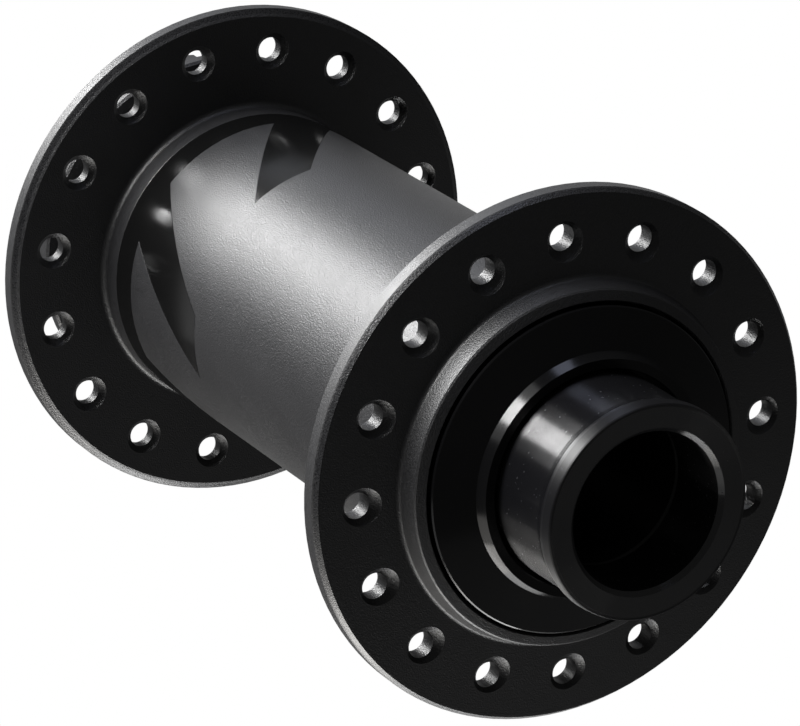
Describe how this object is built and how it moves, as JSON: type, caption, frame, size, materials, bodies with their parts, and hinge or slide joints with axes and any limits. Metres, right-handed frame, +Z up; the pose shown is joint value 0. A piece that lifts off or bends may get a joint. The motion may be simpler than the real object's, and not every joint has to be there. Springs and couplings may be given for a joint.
{
  "type": "bicycle front hub",
  "caption": "Front disc brake hub for a 15 mm thru axle, with drilled spoke flanges, a straight barrel, a splined rotor mount and pull-off end caps.",
  "frame": {"origin": "on the wheel axis, midway between the two end faces", "axes": "+Y along the wheel axis towards the disc side, +Z up, +X level across the axis"},
  "size_m": [0.0512, 0.1, 0.0512],
  "materials": {
    "shell_black": "satin, bead blasted and anodised",
    "cap_black": "gloss, turned and anodised",
    "cover_black": "gloss, turned and anodised",
    "sleeve_black": "satin, turned and anodised",
    "race_steel": "ground",
    "ball_steel": "polished",
    "cage_plastic": "matte",
    "seal_rubber": "matte",
    "o_ring_rubber": "satin"
  },
  "bodies": {
    "axle": {"axle_sleeve": "sleeve_black", "right_bearing_inner_race": "race_steel", "left_bearing_inner_race": "race_steel", "right_side_cover": "cover_black", "left_side_cover": "cover_black"},
    "shell": {"hub_shell": "shell_black", "right_bearing_outer_race": "race_steel", "left_bearing_outer_race": "race_steel", "right_bearing_outer_seal": "seal_rubber", "right_bearing_inner_seal": "seal_rubber", "left_bearing_outer_seal": "seal_rubber", "left_bearing_inner_seal": "seal_rubber"},
    "right_cage": {"right_bearing_cage": "cage_plastic", "right_bearing_balls": "ball_steel"},
    "left_cage": {"left_bearing_cage": "cage_plastic", "left_bearing_balls": "ball_steel"},
    "right_cap": {"right_end_cap": "cap_black", "right_cap_o_ring": "o_ring_rubber"},
    "left_cap": {"left_end_cap": "cap_black", "left_cap_o_ring": "o_ring_rubber"}
  },
  "joints": [
    {"name": "shell_spin", "type": "hinge", "parent": "axle", "child": "shell", "pos_m": [0, 0, 0], "axis": [0, 1, 0], "continuous": true},
    {"name": "right_cage_spin", "type": "hinge", "parent": "axle", "child": "right_cage", "pos_m": [0, -0.03165, 0], "axis": [0, 1, 0], "continuous": true},
    {"name": "left_cage_spin", "type": "hinge", "parent": "axle", "child": "left_cage", "pos_m": [0, 0.03165, 0], "axis": [0, 1, 0], "continuous": true},
    {"name": "right_cap_pull", "type": "slide", "parent": "axle", "child": "right_cap", "axis": [0, -1, 0], "range_m": [0, 0.02]},
    {"name": "left_cap_pull", "type": "slide", "parent": "axle", "child": "left_cap", "axis": [0, 1, 0], "range_m": [0, 0.02]}
  ],
  "couplings": [
    {"joint": "right_cage_spin", "follows": "shell_spin", "ratio": 0.5778},
    {"joint": "left_cage_spin", "follows": "shell_spin", "ratio": 0.5778}
  ]
}
